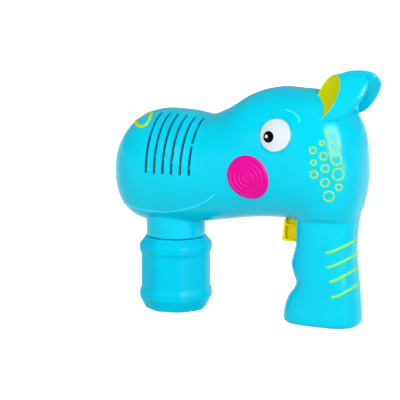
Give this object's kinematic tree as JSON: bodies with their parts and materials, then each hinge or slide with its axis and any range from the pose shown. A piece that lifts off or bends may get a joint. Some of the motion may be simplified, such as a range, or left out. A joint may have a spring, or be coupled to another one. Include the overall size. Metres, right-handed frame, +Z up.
{
  "type": "bubble blower",
  "caption": "Hand-held battery bubble blower shaped like an animal's head, with a screw-on solution bottle under the snout and a pull trigger on the grip.",
  "frame": {"origin": "middle of the object's box on the floor that the bottle and the grip stand on", "axes": "+Z up, +X from the snout to the back of the head, +Y towards the toy's right side"},
  "size_m": [0.2051, 0.0854, 0.1925],
  "materials": {
    "shell_cyan": "semi-gloss",
    "bottle_cyan": "slightly translucent",
    "lime": "satin",
    "yellow": "satin",
    "pink": "satin",
    "white": "gloss",
    "black": "gloss",
    "grey": "moulded",
    "natural": "milky",
    "soft": "soft",
    "steel": "bright",
    "brass": "bright",
    "red_lead": "soft",
    "black_lead": "soft"
  },
  "bodies": {
    "shell": {"left_shell": "shell_cyan", "right_shell": "shell_cyan", "ear_left": "shell_cyan", "ear_right": "shell_cyan", "ear_lining_left": "lime", "ear_lining_right": "lime", "eye_left": "white", "eye_right": "white", "pupil_left": "black", "pupil_right": "black", "cheek_left": "pink", "cheek_right": "pink", "outlet_ring": "lime", "bubble_ring": "yellow", "drip_tray": "natural", "fan_duct": "lime", "motor_can": "steel", "motor_end_cap": "black", "motor_bracket": "grey", "reduction_axle": "steel", "pump_housing": "natural", "pump_lid": "natural", "pump_tube": "soft", "bottle_socket": "natural", "dip_tube": "natural", "trigger_spring": "steel", "switch_body": "black", "battery_tray": "black", "battery_cells": "grey", "contact_springs": "steel", "contact_plates": "steel", "shell_screws": "steel", "wire_red": "red_lead", "wire_switch": "red_lead", "wire_black": "black_lead"},
    "drive_rotor": {"motor_shaft": "steel", "fan": "white", "motor_pinion": "brass"},
    "reduction": {"reduction_gear": "white"},
    "pump_drive": {"pump_gear": "white", "pump_axle": "steel", "pump_rotor": "white"},
    "trigger_unit": {"trigger": "yellow", "switch_plunger": "white"},
    "bottle_gasket": {"bottle_seal": "soft"},
    "bottle_unit": {"bottle": "bottle_cyan"},
    "door_unit": {"battery_door": "shell_cyan", "battery_door_screw": "steel"}
  },
  "joints": [
    {"name": "fan_spin", "type": "hinge", "parent": "shell", "child": "drive_rotor", "pos_m": [-0.06, 0, 0.108], "axis": [1, 0, 0], "continuous": true},
    {"name": "reduction_spin", "type": "hinge", "parent": "shell", "child": "reduction", "pos_m": [0, 0.01188, 0.09612], "axis": [1, 0, 0], "continuous": true},
    {"name": "pump_spin", "type": "hinge", "parent": "shell", "child": "pump_drive", "pos_m": [0, -0.00492, 0.09612], "axis": [1, 0, 0], "continuous": true},
    {"name": "trigger_pull", "type": "slide", "parent": "shell", "child": "trigger_unit", "axis": [1, 0, 0], "range_m": [0, 0.0055], "stiffness_N_per_m": 250, "springref_m": -0.004, "deforming": ["trigger_spring"]},
    {"name": "bottle_drop", "type": "slide", "parent": "shell", "child": "bottle_gasket", "axis": [0, 0, -1], "range_m": [0, 0.013]},
    {"name": "bottle_turn", "type": "hinge", "parent": "bottle_gasket", "child": "bottle_unit", "pos_m": [-0.06, 0, 0], "axis": [0, 0, -1], "range_deg": [0, 1170]},
    {"name": "door_lift", "type": "slide", "parent": "shell", "child": "door_unit", "axis": [0, 1, 0], "range_m": [0, 0.03]}
  ],
  "couplings": [
    {"joint": "reduction_spin", "follows": "fan_spin", "ratio": -0.33333},
    {"joint": "pump_spin", "follows": "fan_spin", "ratio": 0.11111},
    {"joint": "bottle_drop", "follows": "bottle_turn", "m_per_rad": 0.00063662}
  ]
}
